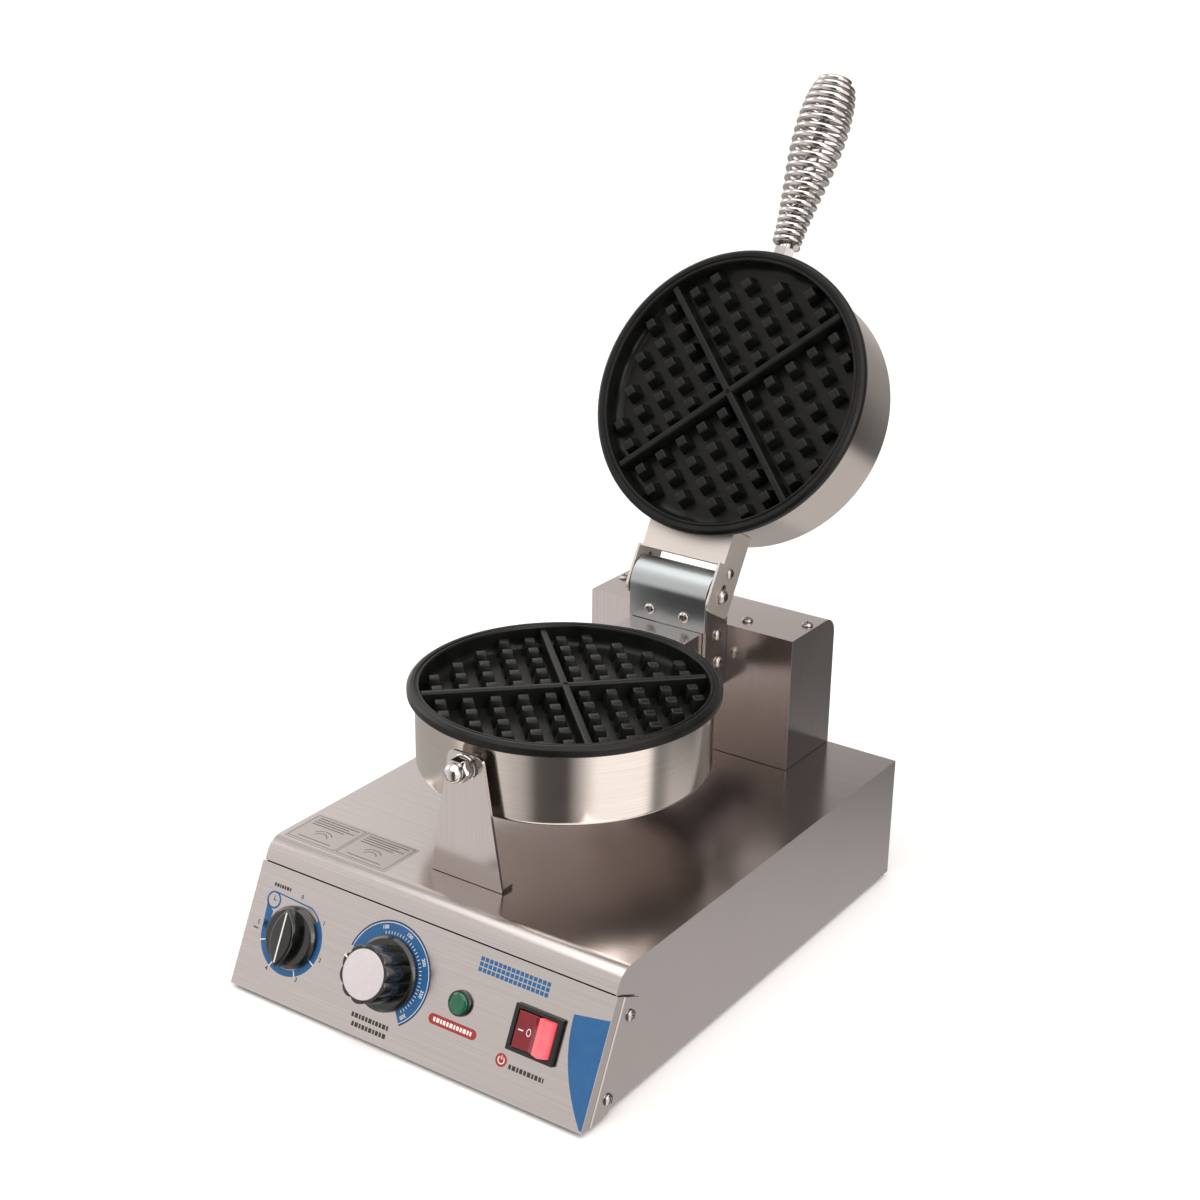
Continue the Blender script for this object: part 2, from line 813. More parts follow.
@dataclass
class Fasteners(Assembly):
    """Pan-head screws with a cross recess, and the two larger screws on the hinge pin."""

    recess_mm: float = 2.1
    recess_width_mm: float = 0.75
    recess_depth_mm: float = 1.1
    recess_turn: float = 0.5
    small_mm: tuple[float, float, float] = (3.6, 1.9, 1.0)
    large_mm: tuple[float, float, float] = (4.6, 2.9, 0.6)
    base_screws: dict[str, Axis] = field(default_factory=lambda: {
        "panel_screw_1": Axis.LEFT, "panel_screw_2": Axis.LEFT, "panel_screw_3": Axis.RIGHT,
        "panel_screw_4": Axis.RIGHT, "hinge_side_screw_1": Axis.LEFT, "hinge_side_screw_2": Axis.LEFT,
        "hinge_side_screw_3": Axis.RIGHT, "hinge_side_screw_4": Axis.RIGHT, "hinge_cover_screw_1": Axis.FRONT,
        "hinge_cover_screw_2": Axis.FRONT, "tower_screw_1": Axis.TOP, "tower_screw_2": Axis.TOP,
        "tower_screw_3": Axis.TOP, "tower_screw_4": Axis.TOP})
    lid_screws: dict[str, Axis] = field(default_factory=lambda: {
        "arm_screw_1": Axis.LEFT, "arm_screw_2": Axis.RIGHT})
    pivot_screws: dict[str, Axis] = field(default_factory=lambda: {
        "pivot_screw_1": Axis.LEFT, "pivot_screw_2": Axis.RIGHT})

    def spot(self, node: str, axis: Axis) -> Matrix:
        """Find a screw's outermost point.

        Args:
            node: the screw's CAD node.
            axis: the way its head faces.

        Returns:
            Frame on that point with z along the screw, in metres.
        """
        low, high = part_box(node)
        outward = Vector(axis.value)
        middle = (low + high) / 2
        reach = (high - low).dot(Vector([abs(v) for v in axis.value])) / 2
        turn = outward.to_track_quat("Z", "Y").to_matrix().to_4x4()
        return Matrix.Translation(middle + outward * reach) @ turn

    def head(self, radius_mm: float, rise_mm: float, shank_mm: float) -> Piece:
        """Build one screw whose dome's top is at zero, with its recess cut in.

        Args:
            radius_mm: the head's radius.
            rise_mm: its height.
            shank_mm: how much of the shank shows in the hole below it.

        Returns:
            The screw.
        """
        shank, foot = radius_mm * 0.47, -rise_mm - shank_mm
        dome = rounded([
            (0, 0), (radius_mm * 0.62, -0.05, 1.2), (radius_mm, -rise_mm * 0.55, 0.8),
            (radius_mm, -rise_mm, 0.25), (shank, -rise_mm), (shank, foot), (0, foot)], 4)
        screw = Shape().turned(dome, 32).place("screw_head", Matrix())
        reach, half = self.recess_mm, self.recess_width_mm / 2
        cross = [
            (half, half), (half, reach), (-half, reach), (-half, half), (-reach, half), (-reach, -half),
            (-half, -half), (-half, -reach), (half, -reach), (half, -half), (reach, -half), (reach, half)]
        turn = Matrix.Rotation(self.recess_turn, 4, "Z")
        cutter = Shape().prism(cross, -self.recess_depth_mm, 1.0).place("recess", turn)
        cut = screw.modifiers.new("recess", "BOOLEAN")
        cut.object = cutter
        cut.solver = "EXACT"
        made = bpy.data.meshes.new_from_object(screw.evaluated_get(bpy.context.evaluated_depsgraph_get()))
        for used in (screw, cutter):
            bpy.data.objects.remove(used)
        return as_object("cross_head_screw", made)

    def build(self) -> None:
        """Build each body's screws as one mesh."""
        for name, places, body, size in (
                ("base_screws", self.base_screws, Body.BASE, self.small_mm),
                ("lid_screws", self.lid_screws, Body.LID, self.small_mm),
                ("pivot_screws", self.pivot_screws, Body.BASE, self.large_mm)):
            spots = [self.spot(node, axis) for node, axis in places.items()]
            made = copies(name, self.head(*size), spots, SCREW_PLATE)
            self.dress(made, SCREW_PLATE, body, *places)


@dataclass
class Housing(Assembly):
    """The sheet-steel base, its rear tower, bottom plate, feet, cord gland and what stands inside."""

    edge_mm: float = 0.35
    label_x_mm: Point = (-121.0, -44.0)
    label_y_mm: Point = (45.0, 76.5)
    label_thickness_mm: float = 0.12
    gland_ribs: int = 5

    def build(self) -> None:
        """Build and dress every piece of the housing."""
        for node in ("base_shell", "control_panel", "rear_panel"):
            self.dress(folded_copy(node, self.edge_mm, 3), SHEET_STEEL, Body.BASE, node)
        self.dress(folded_copy("tower_cover", self.edge_mm, 3), UPRIGHT_STEEL, Body.BASE, "tower_cover")
        self.dress(folded_copy("bottom_plate", 0.2), ZINC, Body.BASE, "bottom_plate")
        self.dress(folded_copy("terminal_block", 0.8), CERAMIC, Body.BASE, "terminal_block")
        self.feet()
        self.gland()
        self.label()

    def feet(self) -> None:
        """Turned rubber feet with a hollow under each and a rounded rim."""
        for i in range(1, 5):
            low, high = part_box(f"foot_{i}")
            radius = (high.x - low.x) / 2 / MM
            tall = (high.z - low.z) / MM
            profile = rounded([
                (0, 1.5), (radius * 0.45, 1.5, 0.5), (radius * 0.5, 0, 0.4), (radius - 1.5, 0, 1.0),
                (radius, 1.6, 1.0), (radius * 0.94, tall), (0, tall)])
            place = Matrix.Translation(((low.x + high.x) / 2, (low.y + high.y) / 2, low.z))
            foot = Shape().turned(profile, 48).place(f"rubber_foot_{i}", place)
            self.dress(foot, RUBBER, Body.BASE, f"foot_{i}")

    def gland(self) -> None:
        """The empty cord gland, ringed with soft ribs outside the rear panel."""
        low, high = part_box("cable_gland")
        radius = (high.x - low.x) / 2 / MM
        length = (high.y - low.y) / MM
        wall = length - 14.0
        outer = [(9.0, 0), (9.0, wall + 0.3), (radius, wall + 0.3), (radius, wall + 2.6), (8.4, wall + 3.4)]
        pitch = (length - wall - 4.0) / self.gland_ribs
        for i in range(self.gland_ribs):
            start = wall + 3.6 + i * pitch
            narrow = 7.6 - 0.2 * i
            outer += [(narrow - 0.8, start), (narrow, start + pitch * 0.3), (narrow, start + pitch * 0.7)]
        section = [(4.2, 0), *outer, (4.2, length)]
        middle = (low + high) / 2
        place = Matrix.Translation((middle.x, low.y, middle.z)) @ Matrix.Rotation(math.radians(-90), 4, "X")
        made = Shape().turned(section, 48).place("ribbed_cord_gland", place)
        self.dress(made, RUBBER, Body.BASE, "cable_gland")

    def label(self) -> None:
        """A film sticker with two plain pictograms and rows of dashes in place of words."""
        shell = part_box("base_shell")
        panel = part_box("control_panel")
        place = Matrix.Translation((0, panel[0].y, shell[1].z))
        (x0, x1), (y0, y1) = self.label_x_mm, self.label_y_mm
        top = self.label_thickness_mm
        film = Shape().bar((x0, x1), (y0, y1), (-0.02, top)).place("film_sticker", place)
        self.dress(film, STICKER, Body.BASE)
        print_top = top + 0.03
        marks = Shape()
        middle = (x0 + x1) / 2
        for left, right in ((x0 + 1.5, middle - 0.6), (middle + 0.6, x1 - 1.5)):
            low, high, line = y0 + 1.5, y1 - 1.5, 0.35
            for start in (low, high - line):
                marks.bar((left, right), (start, start + line), (0, print_top))
            for start in (left, right - line):
                marks.bar((start, start + line), (low, high), (0, print_top))
            for row in range(4):
                y = high - 3.0 - row * 2.4
                end = right - 3.0 - (row % 2) * 6.0
                marks.bar((left + 3.0, end), (y, y + 0.7), (0, print_top))
            centre = ((left + right) / 2, low + 7.0)
            marks.bar((left + 6.0, right - 6.0), (low + 3.0, low + 3.6), (0, print_top))
            marks.sector(centre, (4.6, 5.1), (20, 160), 0, print_top)
            marks.sector(centre, (7.4, 7.9), (35, 145), 0, print_top)
        self.dress(marks.place("sticker_print", place), DARK_INK, Body.BASE)


@dataclass
class CookingHead(Assembly):
    """One head: a cast plate in its spun casing, facing up from the rim at z = 0 in its own frame."""

    prefix: str
    body: Body
    place: Matrix
    steel: Finish
    lip_mm: float = 92.0
    band_mm: float = 6.5
    cavity_mm: float = 84.5
    cavity_depth_mm: float = 13.5
    floor_mm: float = 5.0
    neck_mm: float = 86.0
    casing_mm: float = 87.3
    wall_mm: float = 1.0
    bend_mm: float = 3.0
    rib_mm: tuple[float, float, float] = (2.0, 3.0, 2.2)
    stud_pitch_mm: float = 16.0
    stud_first_mm: float = 9.75
    stud_mm: tuple[float, float, float] = (3.1, 4.9, 4.2)
    stud_limit_mm: float = 79.0
    stud_rows: int = 5

    def build(self) -> None:
        """Build and dress the plate, its ribs and studs, and the casing."""
        self.plate()
        self.studs()
        self.casing()
        self.keep(ZINC, f"{self.prefix}_element")
        self.keep(WOOL, f"{self.prefix}_insulation")

    def plate(self) -> None:
        """The casting: a rolled lip with a groove inside it, a dished floor and two crossing ribs."""
        lip, band, cavity, depth = self.lip_mm, self.band_mm, self.cavity_mm, self.cavity_depth_mm
        neck, under = self.neck_mm, depth + self.floor_mm
        profile = rounded([
            (0, -depth), (cavity, -depth, 7.5), (cavity, -1.4, 0.8), (cavity + 0.5, -0.35, 0.5),
            (cavity + 1.6, -0.3, 0.4), (cavity + 2.1, -0.95, 0.25), (cavity + 2.6, -0.95, 0.25),
            (cavity + 3.0, -0.1, 0.4), (lip - 2.2, 0, 1.6), (lip, -1.6, 1.8), (lip, -band + 1.0, 1.4),
            (lip - 1.6, -band, 1.0), (neck, -band), (neck, -under + 2, 1.5), (neck - 2, -under),
            (0, -under)], 6)
        made = Shape().turned(profile, 128)
        top, foot, below = self.rib_mm
        length = cavity - 0.6
        for turn in (45, -45):
            crest = rounded([
                (-foot, -depth - 0.5), (-top - 0.25, -below - 0.9, 0.7), (-top + 0.4, -below, 0.5),
                (top - 0.4, -below, 0.5), (top + 0.25, -below - 0.9, 0.7), (foot, -depth - 0.5)], 3)
            lie = Matrix.Rotation(math.radians(turn), 4, "Z") @ Matrix.Rotation(math.radians(90), 4, "X")
            made.prism(crest, -length, length, lie)
        casting = made.place(f"{self.prefix}_cast_plate", self.place)
        self.dress(casting, NONSTICK, self.body, f"{self.prefix}_plate")

    def stud(self) -> Piece:
        """Build one tapered square stud with softened edges, standing on the dished floor.

        Returns:
            The stud, in metres.
        """
        top, foot, below = self.stud_mm
        low, high = -self.cavity_depth_mm - 0.4, -below
        corners = [(-foot, -foot), (foot, -foot), (foot, foot), (-foot, foot)]
        share = top / foot
        points = [(x, y, low) for x, y in corners] + [(x * share, y * share, high) for x, y in corners]
        faces = [(0, 1, 2, 3), (4, 5, 6, 7), (0, 1, 5, 4), (1, 2, 6, 5), (2, 3, 7, 6), (3, 0, 4, 7)]
        shape = Shape()
        shape.add(points, faces, Matrix())
        upper = [e for e in shape.mesh.edges if max(v.co.z for v in e.verts) > low + 1]
        bmesh.ops.bevel(shape.mesh, geom=upper, offset=0.75, segments=3, affect="EDGES", profile=0.6)
        return shape.place("stud", Matrix())

    def studs(self) -> None:
        """All the studs by a tree: a square patch of points in each quarter, kept inside the wall."""
        grid = RepeatTree("studs_in_quarters", {
            "Pitch": "NodeSocketFloat", "First": "NodeSocketFloat", "Limit": "NodeSocketFloat",
            "Rows": "NodeSocketInt", "Shape": "NodeSocketObject", "Finish": "NodeSocketMaterial"})
        entry = grid.entry
        gaps = grid.node("ShaderNodeMath", {0: entry["Rows"], 1: 1.0}, operation="SUBTRACT")
        side = grid.node("ShaderNodeMath", {0: gaps.outputs[0], 1: entry["Pitch"]}, operation="MULTIPLY")
        patch = grid.node("GeometryNodeMeshGrid", {
            "Size X": side.outputs[0], "Size Y": side.outputs[0], "Vertices X": entry["Rows"],
            "Vertices Y": entry["Rows"]})
        shift = grid.node("ShaderNodeMath", {
            0: side.outputs[0], 1: 0.5, 2: entry["First"]}, operation="MULTIPLY_ADD")
        offset = grid.node("ShaderNodeCombineXYZ", {0: shift.outputs[0], 1: shift.outputs[0]})
        quarter = grid.node("GeometryNodeTransform", {
            "Geometry": patch.outputs["Mesh"], "Translation": offset.outputs[0]})
        joined = grid.node("GeometryNodeJoinGeometry")
        for turn in range(4):
            angle = math.radians(45 + 90 * turn)
            turned = grid.node("GeometryNodeTransform", {
                "Geometry": quarter.outputs[0], "Rotation": (0, 0, angle)})
            grid.tree.links.new(turned.outputs[0], joined.inputs[0])
        spot = grid.node("GeometryNodeInputPosition")
        reach = grid.node("ShaderNodeVectorMath", {0: spot.outputs[0]}, operation="LENGTH")
        outside = grid.node("FunctionNodeCompare", {
            0: reach.outputs["Value"], 1: entry["Limit"]}, operation="GREATER_THAN")
        kept = grid.node("GeometryNodeDeleteGeometry", {
            "Geometry": joined.outputs[0], "Selection": outside.outputs[0]})
        shape = grid.node("GeometryNodeObjectInfo", {"Object": entry["Shape"]})
        placed = grid.node("GeometryNodeInstanceOnPoints", {
            "Points": kept.outputs[0], "Instance": shape.outputs["Geometry"],
            "Rotation": (0, 0, math.radians(45))})
        grid.close(placed.outputs[0])
        stud = self.stud()
        values = {
            "Pitch": self.stud_pitch_mm * MM, "First": self.stud_first_mm * MM,
            "Limit": self.stud_limit_mm * MM, "Rows": self.stud_rows, "Shape": stud,
            "Finish": NONSTICK.material()}
        made = grid.run(f"{self.prefix}_studs", bpy.data.meshes.new("start"), values, self.place)
        bpy.data.objects.remove(stud)
        self.dress(made, NONSTICK, self.body)

    def casing(self) -> None:
        """The spun cup: a thin wall, a tight bend and a flat bottom, open at the plate."""
        node = f"{self.prefix}_casing"
        low, high = box_in(self.place, node)
        radius, bend, wall = self.casing_mm, self.bend_mm, self.wall_mm
        outer = rounded([(0, low.z), (radius, low.z, bend), (radius, high.z)], 8)
        inside, floor = radius - wall, low.z + wall
        inner = rounded([(inside, high.z), (inside, floor, bend - wall), (0, floor)], 8)
        made = Shape().turned(outer + inner, 192).place(f"{self.prefix}_spun_casing", self.place)
        self.dress(made, self.steel, self.body, node)


@dataclass
class Supports(Assembly):
    """The bracket, stud, washer and cap nut in front, and the arm behind the lower pan."""

    edge_mm: float = 0.35
    stud_radius_mm: float = 4.0

    def build(self) -> None:
        """Build and dress the lower pan's supports."""
        self.dress(folded_copy("front_bracket", self.edge_mm, 3), UPRIGHT_STEEL, Body.BASE, "front_bracket")
        self.dress(folded_copy("lower_arm", self.edge_mm, 3), SHEET_STEEL, Body.BASE, "lower_arm")
        self.keep(ZINC, "lower_stud")
        self.washer()
        self.cap_nut()

    def facing_front(self, node: str) -> tuple[Matrix, float, float]:
        """Set up a frame on a node's rear face.

        Args:
            node: the CAD node.

        Returns:
            The frame, with z to the front, and the node's length and height in millimetres.
        """
        low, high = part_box(node)
        middle = (low + high) / 2
        place = Matrix.Translation((middle.x, high.y, middle.z)) @ Matrix.Rotation(math.radians(90), 4, "X")
        return place, (high.y - low.y) / MM, (high.z - low.z) / MM

    def washer(self) -> None:
        """A flat washer with its edges broken."""
        place, thick, wide = self.facing_front("front_washer")
        bore, rim = self.stud_radius_mm + 0.3, wide / 2
        profile = [
            (bore, 0), (rim - 0.3, 0), (rim, 0.3), (rim, thick - 0.4), (rim - 0.4, thick), (bore, thick)]
        made = Shape().turned(profile, 64).place("turned_washer", place)
        self.dress(made, CHROME, Body.BASE, "front_washer")

    def cap_nut(self) -> None:
        """A cap nut: a chamfered hexagon, a short neck and a domed cap."""
        place, length, _ = self.facing_front("front_acorn_nut")
        across, nut, dome = 13.0, 6.5, 5.9
        corner = across / math.sqrt(3)
        hexagon = arc((0, 0), corner, 0, 300, 5)
        made = Shape().prism(hexagon, 0, nut)
        bmesh.ops.bevel(made.mesh, geom=list(made.mesh.edges), offset=0.35, segments=2, affect="EDGES")
        neck = length - dome
        crown = arc((0, neck), dome, 0, 90, 14)[1:-1]
        cap = [(0, nut - 0.6), (dome, nut - 0.6), (dome, neck), *crown, (0, length)]
        made.turned(cap, 64)
        self.dress(made.place("chromed_cap_nut", place), CHROME, Body.BASE, "front_acorn_nut")


@dataclass
class Hinge(Assembly):
    """The hinge's housing, guard and pin on the base, and the folded arm of the lid."""

    edge_mm: float = 0.35

    def build(self) -> None:
        """Build and dress the hinge."""
        self.dress(folded_copy("hinge_housing", self.edge_mm, 2), SHEET_STEEL, Body.BASE, "hinge_housing")
        self.dress(folded_copy("hinge_cover", 0.25, 2), POLISHED_GUARD, Body.BASE, "hinge_cover")
        self.dress(folded_copy("lid_arm", self.edge_mm, 3), ARM_STEEL, Body.LID, "lid_arm")
        self.keep(ZINC, "hinge_pin")


@dataclass
class Handle(Assembly):
    """The spring handle: a plain rod, a hexagonal ferrule and a coil wound round it."""

    place: Matrix
    wire_mm: float = 2.0
    turns: float = 21.0
    root_mm: float = 7.4
    belly_mm: float = 15.4
    tip_mm: float = 7.6
    belly_at: float = 0.72
    crowding: float = 0.035
    steps_per_turn: int = 40
    wire_facets: int = 12
    end_inset_mm: float = 1.4
    profile_points: int = 9

    def radius_at(self, along: float) -> float:
        """Work out the radius of the coil's centre line.

        Args:
            along: share of the coil's length.

        Returns:
            The radius there, in millimetres.
        """
        if along < self.belly_at:
            rise = math.sin(along / self.belly_at * math.pi / 2) ** 1.7
            return self.root_mm + (self.belly_mm - self.root_mm) * rise
        fall = (along - self.belly_at) / (1 - self.belly_at)
        return self.tip_mm + (self.belly_mm - self.tip_mm) * math.sqrt(max(0.0, 1 - 0.97 * fall * fall))

    def build(self) -> None:
        """Build and dress the handle."""
        ferrule, _ = box_in(self.place, "handle_ferrule")
        coil, _ = box_in(self.place, "handle_coil")
        self.coil(-ferrule.y, -coil.y - self.end_inset_mm)
        self.rod()
        self.ferrule()

    def coil(self, start_mm: float, end_mm: float) -> None:
        """Wind the coil by a tree along the handle's reach.

        Args:
            start_mm: reach of the coil's near end.
            end_mm: reach of its far end.
        """
        wind = RepeatTree("wound_coil", {
            "Start": "NodeSocketFloat", "Length": "NodeSocketFloat", "Turns": "NodeSocketFloat",
            "Belly": "NodeSocketFloat", "Wire": "NodeSocketFloat", "Crowding": "NodeSocketFloat",
            "Steps": "NodeSocketInt", "Finish": "NodeSocketMaterial"})
        entry = wind.entry
        line = wind.node("GeometryNodeCurvePrimitiveLine", {"End": (0, 0, 1)})
        fine = wind.node("GeometryNodeResampleCurve", {"Curve": line.outputs[0], "Count": entry["Steps"]})
        share = wind.node("GeometryNodeSplineParameter").outputs["Factor"]
        full = wind.node("ShaderNodeMath", {0: share, 1: 2 * math.pi}, operation="MULTIPLY")
        wave = wind.node("ShaderNodeMath", {0: full.outputs[0]}, operation="SINE")
        slack = wind.node("ShaderNodeMath", {0: wave.outputs[0], 1: entry["Crowding"]}, operation="MULTIPLY")
        along = wind.node("ShaderNodeMath", {0: share, 1: slack.outputs[0]}, operation="SUBTRACT")
        angle = wind.node("ShaderNodeMath", {0: full.outputs[0], 1: entry["Turns"]}, operation="MULTIPLY")
        swell = wind.node("ShaderNodeFloatCurve", {"Value": along.outputs[0]})
        self.draw_swell(swell.mapping)
        radius = wind.node("ShaderNodeMath", {0: swell.outputs[0], 1: entry["Belly"]}, operation="MULTIPLY")
        sides = []
        for operation in ("COSINE", "SINE"):
            turn = wind.node("ShaderNodeMath", {0: angle.outputs[0]}, operation=operation)
            side = wind.node("ShaderNodeMath", {
                0: turn.outputs[0], 1: radius.outputs[0]}, operation="MULTIPLY")
            sides.append(side.outputs[0])
        reach = wind.node("ShaderNodeMath", {
            0: along.outputs[0], 1: entry["Length"], 2: entry["Start"]}, operation="MULTIPLY_ADD")
        ahead = wind.node("ShaderNodeMath", {0: reach.outputs[0], 1: -1.0}, operation="MULTIPLY")
        spot = wind.node("ShaderNodeCombineXYZ", {0: sides[0], 1: ahead.outputs[0], 2: sides[1]})
        helix = wind.node("GeometryNodeSetPosition", {
            "Geometry": fine.outputs[0], "Position": spot.outputs[0]})
        section = wind.node("GeometryNodeCurvePrimitiveCircle", {
            "Resolution": self.wire_facets, "Radius": entry["Wire"]})
        tube = wind.node("GeometryNodeCurveToMesh", {
            "Curve": helix.outputs[0], "Profile Curve": section.outputs[0], "Fill Caps": True})
        wind.close(tube.outputs[0])
        wire = self.wire_mm * MM
        values = {
            "Start": start_mm * MM + wire, "Length": (end_mm - start_mm) * MM - 2 * wire, "Turns": self.turns,
            "Belly": self.belly_mm * MM, "Wire": wire, "Crowding": self.crowding,
            "Steps": round(self.turns * self.steps_per_turn), "Finish": CHROME.material()}
        made = wind.run("wound_coil_grip", bpy.data.meshes.new("start"), values, self.place)
        self.dress(made, CHROME, Body.LID, "handle_coil")

    def draw_swell(self, mapping: bpy.types.CurveMapping) -> None:
        """Draw the coil's radius, as a share of its belly, along its length.

        Args:
            mapping: the curve to draw on.
        """
        curve = mapping.curves[0]
        shares = [i / (self.profile_points - 1) for i in range(self.profile_points)]
        shares = sorted({*shares, self.belly_at, 0.96, 0.985})
        curve.points[0].location = (0.0, self.radius_at(0.0) / self.belly_mm)
        curve.points[1].location = (1.0, self.radius_at(1.0) / self.belly_mm)
        for share in shares[1:-1]:
            curve.points.new(share, self.radius_at(share) / self.belly_mm)
        mapping.update()

    def rod(self) -> None:
        """A round rod with a domed end inside the coil."""
        low, high = box_in(self.place, "handle_rod")
        length = high.y - low.y
        profile = [(0, 0), (4.0, 0), *rounded([(4.0, 1), (4.0, length, 2.5), (0, length)], 6)]
        lie = self.place @ Matrix.Translation((0, high.y * MM, 0)) @ Matrix.Rotation(math.radians(90), 4, "X")
        self.dress(Shape().turned(profile, 40).place("drawn_rod", lie), CHROME, Body.LID, "handle_rod")

    def ferrule(self) -> None:
        """A hexagonal nut at the coil's root, bevelled at both ends."""
        low, high = box_in(self.place, "handle_ferrule")
        length = high.y - low.y
        corner = (high.x - low.x) / 2
        made = Shape().prism(arc((0, 0), corner, 0, 300, 5), 0, length)
        bmesh.ops.bevel(made.mesh, geom=list(made.mesh.edges), offset=0.5, segments=2, affect="EDGES")
        lie = self.place @ Matrix.Translation((0, high.y * MM, 0)) @ Matrix.Rotation(math.radians(90), 4, "X")
        self.dress(made.place("hexagonal_ferrule", lie), CHROME, Body.LID, "handle_ferrule")


@dataclass
class Controls(Assembly):
    """Knobs, lamp and rocker switch, in the panel's frame: x across, y up the panel, z out of it."""

    place: Matrix
    flutes: int = 10
    flute_depth_mm: float = 1.6
    barrel_mm: float = 16.6
    cap_mm: float = 14.0
    mark_deg: float = 157.0
    lit_from_mm: float = 2.8
    ink_mm: float = 0.06

    def build(self) -> None:
        """Build and dress every control."""
        self.timer_knob()
        self.temperature_knob()
        self.lamp()
        self.switch()
        self.keep(ZINC, "timer_body", "timer_shaft", "thermostat_shaft")
        self.keep(CERAMIC, "thermostat_body")

    def middle(self, node: str) -> tuple[Matrix, Vector]:
        """Move the panel's frame to a node's middle.

        Args:
            node: the CAD node.

        Returns:
            The moved frame, and the node's size in millimetres.
        """
        low, high = box_in(self.place, node)
        at = Vector(((low.x + high.x) / 2 * MM, (low.y + high.y) / 2 * MM, 0))
        return self.place @ Matrix.Translation(at), high - low

    def timer_knob(self) -> None:
        """A low disc with a lens-shaped grip across it and a pale line along the grip."""
        place, size = self.middle("timer_knob")
        radius, high = size.x / 2, size.z + 0.3
        disc = rounded([
            (0, 0.3), (radius, 0.3, 0.4), (radius, 2.4, 1.0), (radius - 2.0, 4.5, 1.4), (0, 4.5)], 5)
        made = Shape().turned(disc, 96)
        half, end = 8.3, radius - 1.2
        bulge = (end * end - half * half) / (2 * half)
        angle = math.degrees(math.asin(end / (half + bulge)))
        right = arc((-bulge, 0), half + bulge, -angle, angle, 20)
        left = arc((bulge, 0), half + bulge, 180 - angle, 180 + angle, 20)
        lens = right + left[1:-1]
        grip = Shape().prism(lens, 3.5, high)
        top = [e for e in grip.mesh.edges if min(v.co.z for v in e.verts) > high - 0.1]
        bmesh.ops.bevel(grip.mesh, geom=top, offset=2.2, segments=4, affect="EDGES", profile=0.55)
        body = grip.place("timer_grip", place)
        self.dress(body, BAKELITE, Body.TIMER)
        self.dress(made.place("timer_disc", place), BAKELITE, Body.TIMER, "timer_knob")
        line = Shape().bar((-0.45, 0.45), (-end + 2.4, end - 2.4), (high - 0.3, high + 0.06))
        self.dress(line.place("timer_pointer_line", place), PALE_INK, Body.TIMER)

    def temperature_knob(self) -> None:
        """A skirted knob with a fluted barrel, a spun cap and a pale mark on its rim."""
        place, size = self.middle("temperature_knob")
        radius, high = size.x / 2, size.z + 0.3
        skirt = rounded([
            (0, 0.3), (radius, 0.3, 0.4), (radius, 2.6, 0.9), (radius - 1.8, 4.2, 0.9), (0, 4.2)], 5)
        self.dress(Shape().turned(skirt, 128).place("knob_skirt", place), BAKELITE, Body.THERMOSTAT)
        outline = []
        steps = self.flutes * 16
        for i in range(steps):
            angle = 2 * math.pi * i / steps
            ridge = abs(math.sin(angle * self.flutes / 2)) ** 0.7
            reach = self.barrel_mm - self.flute_depth_mm * (1 - ridge)
            outline.append((reach * math.cos(angle), reach * math.sin(angle)))
        grip = Shape().prism(outline, 3.6, high)
        top = [e for e in grip.mesh.edges if min(v.co.z for v in e.verts) > high - 0.1]
        bmesh.ops.bevel(grip.mesh, geom=top, offset=1.1, segments=3, affect="EDGES", profile=0.6)
        self.dress(grip.place("knob_barrel", place), BAKELITE, Body.THERMOSTAT, "temperature_knob")
        rim, top = self.cap_mm, high + 0.35
        cap = rounded([(0, high - 1), (rim, high - 1), (rim, high + 0.3, 0.3), (rim - 0.4, top), (0, top)], 3)
        made = Shape().turned(cap, 128).place("spun_cap", place)
        self.dress(made, CAP_ALUMINIUM, Body.THERMOSTAT, "temperature_knob_cap")
        turn = Matrix.Rotation(math.radians(self.mark_deg), 4, "Z")
        mark = Shape().bar((rim + 0.4, self.barrel_mm + 0.3), (-0.5, 0.5), (high - 3.0, high + 0.05), turn)
        self.dress(mark.place("knob_mark", place), PALE_INK, Body.THERMOSTAT)

    def lamp(self) -> None:
        """The pilot lamp: a narrow black bezel round a green lens that stands proud of it."""
        place, size = self.middle("pilot_lamp_bezel")
        rim = size.x / 2
        bezel = rounded([
            (5.0, -6), (5.0, 0.3), (rim, 0.3, 0.3), (rim - 0.3, 2.4, 0.7), (rim - 1.3, 2.5, 0.3),
            (rim - 1.3, 1.4), (4.6, 1.4), (4.6, -6)], 4)
        made = Shape().turned(bezel, 64).place("lamp_bezel", place)
        self.dress(made, BAKELITE, Body.BASE, "pilot_lamp_bezel")
        place, size = self.middle("pilot_lamp_lens")
        lens = [(0, 1.5), (size.x / 2 - 0.05, 1.5), *rounded([
            (size.x / 2 - 0.05, 1.6), (size.x / 2 - 0.05, 3.3, 0.7), (4.6, 4.0, 1.5), (0, 4.3)], 5)]
        made = Shape().turned(lens, 64).place("lamp_lens", place)
        self.dress(made, GREEN_LENS, Body.BASE, "pilot_lamp_lens")

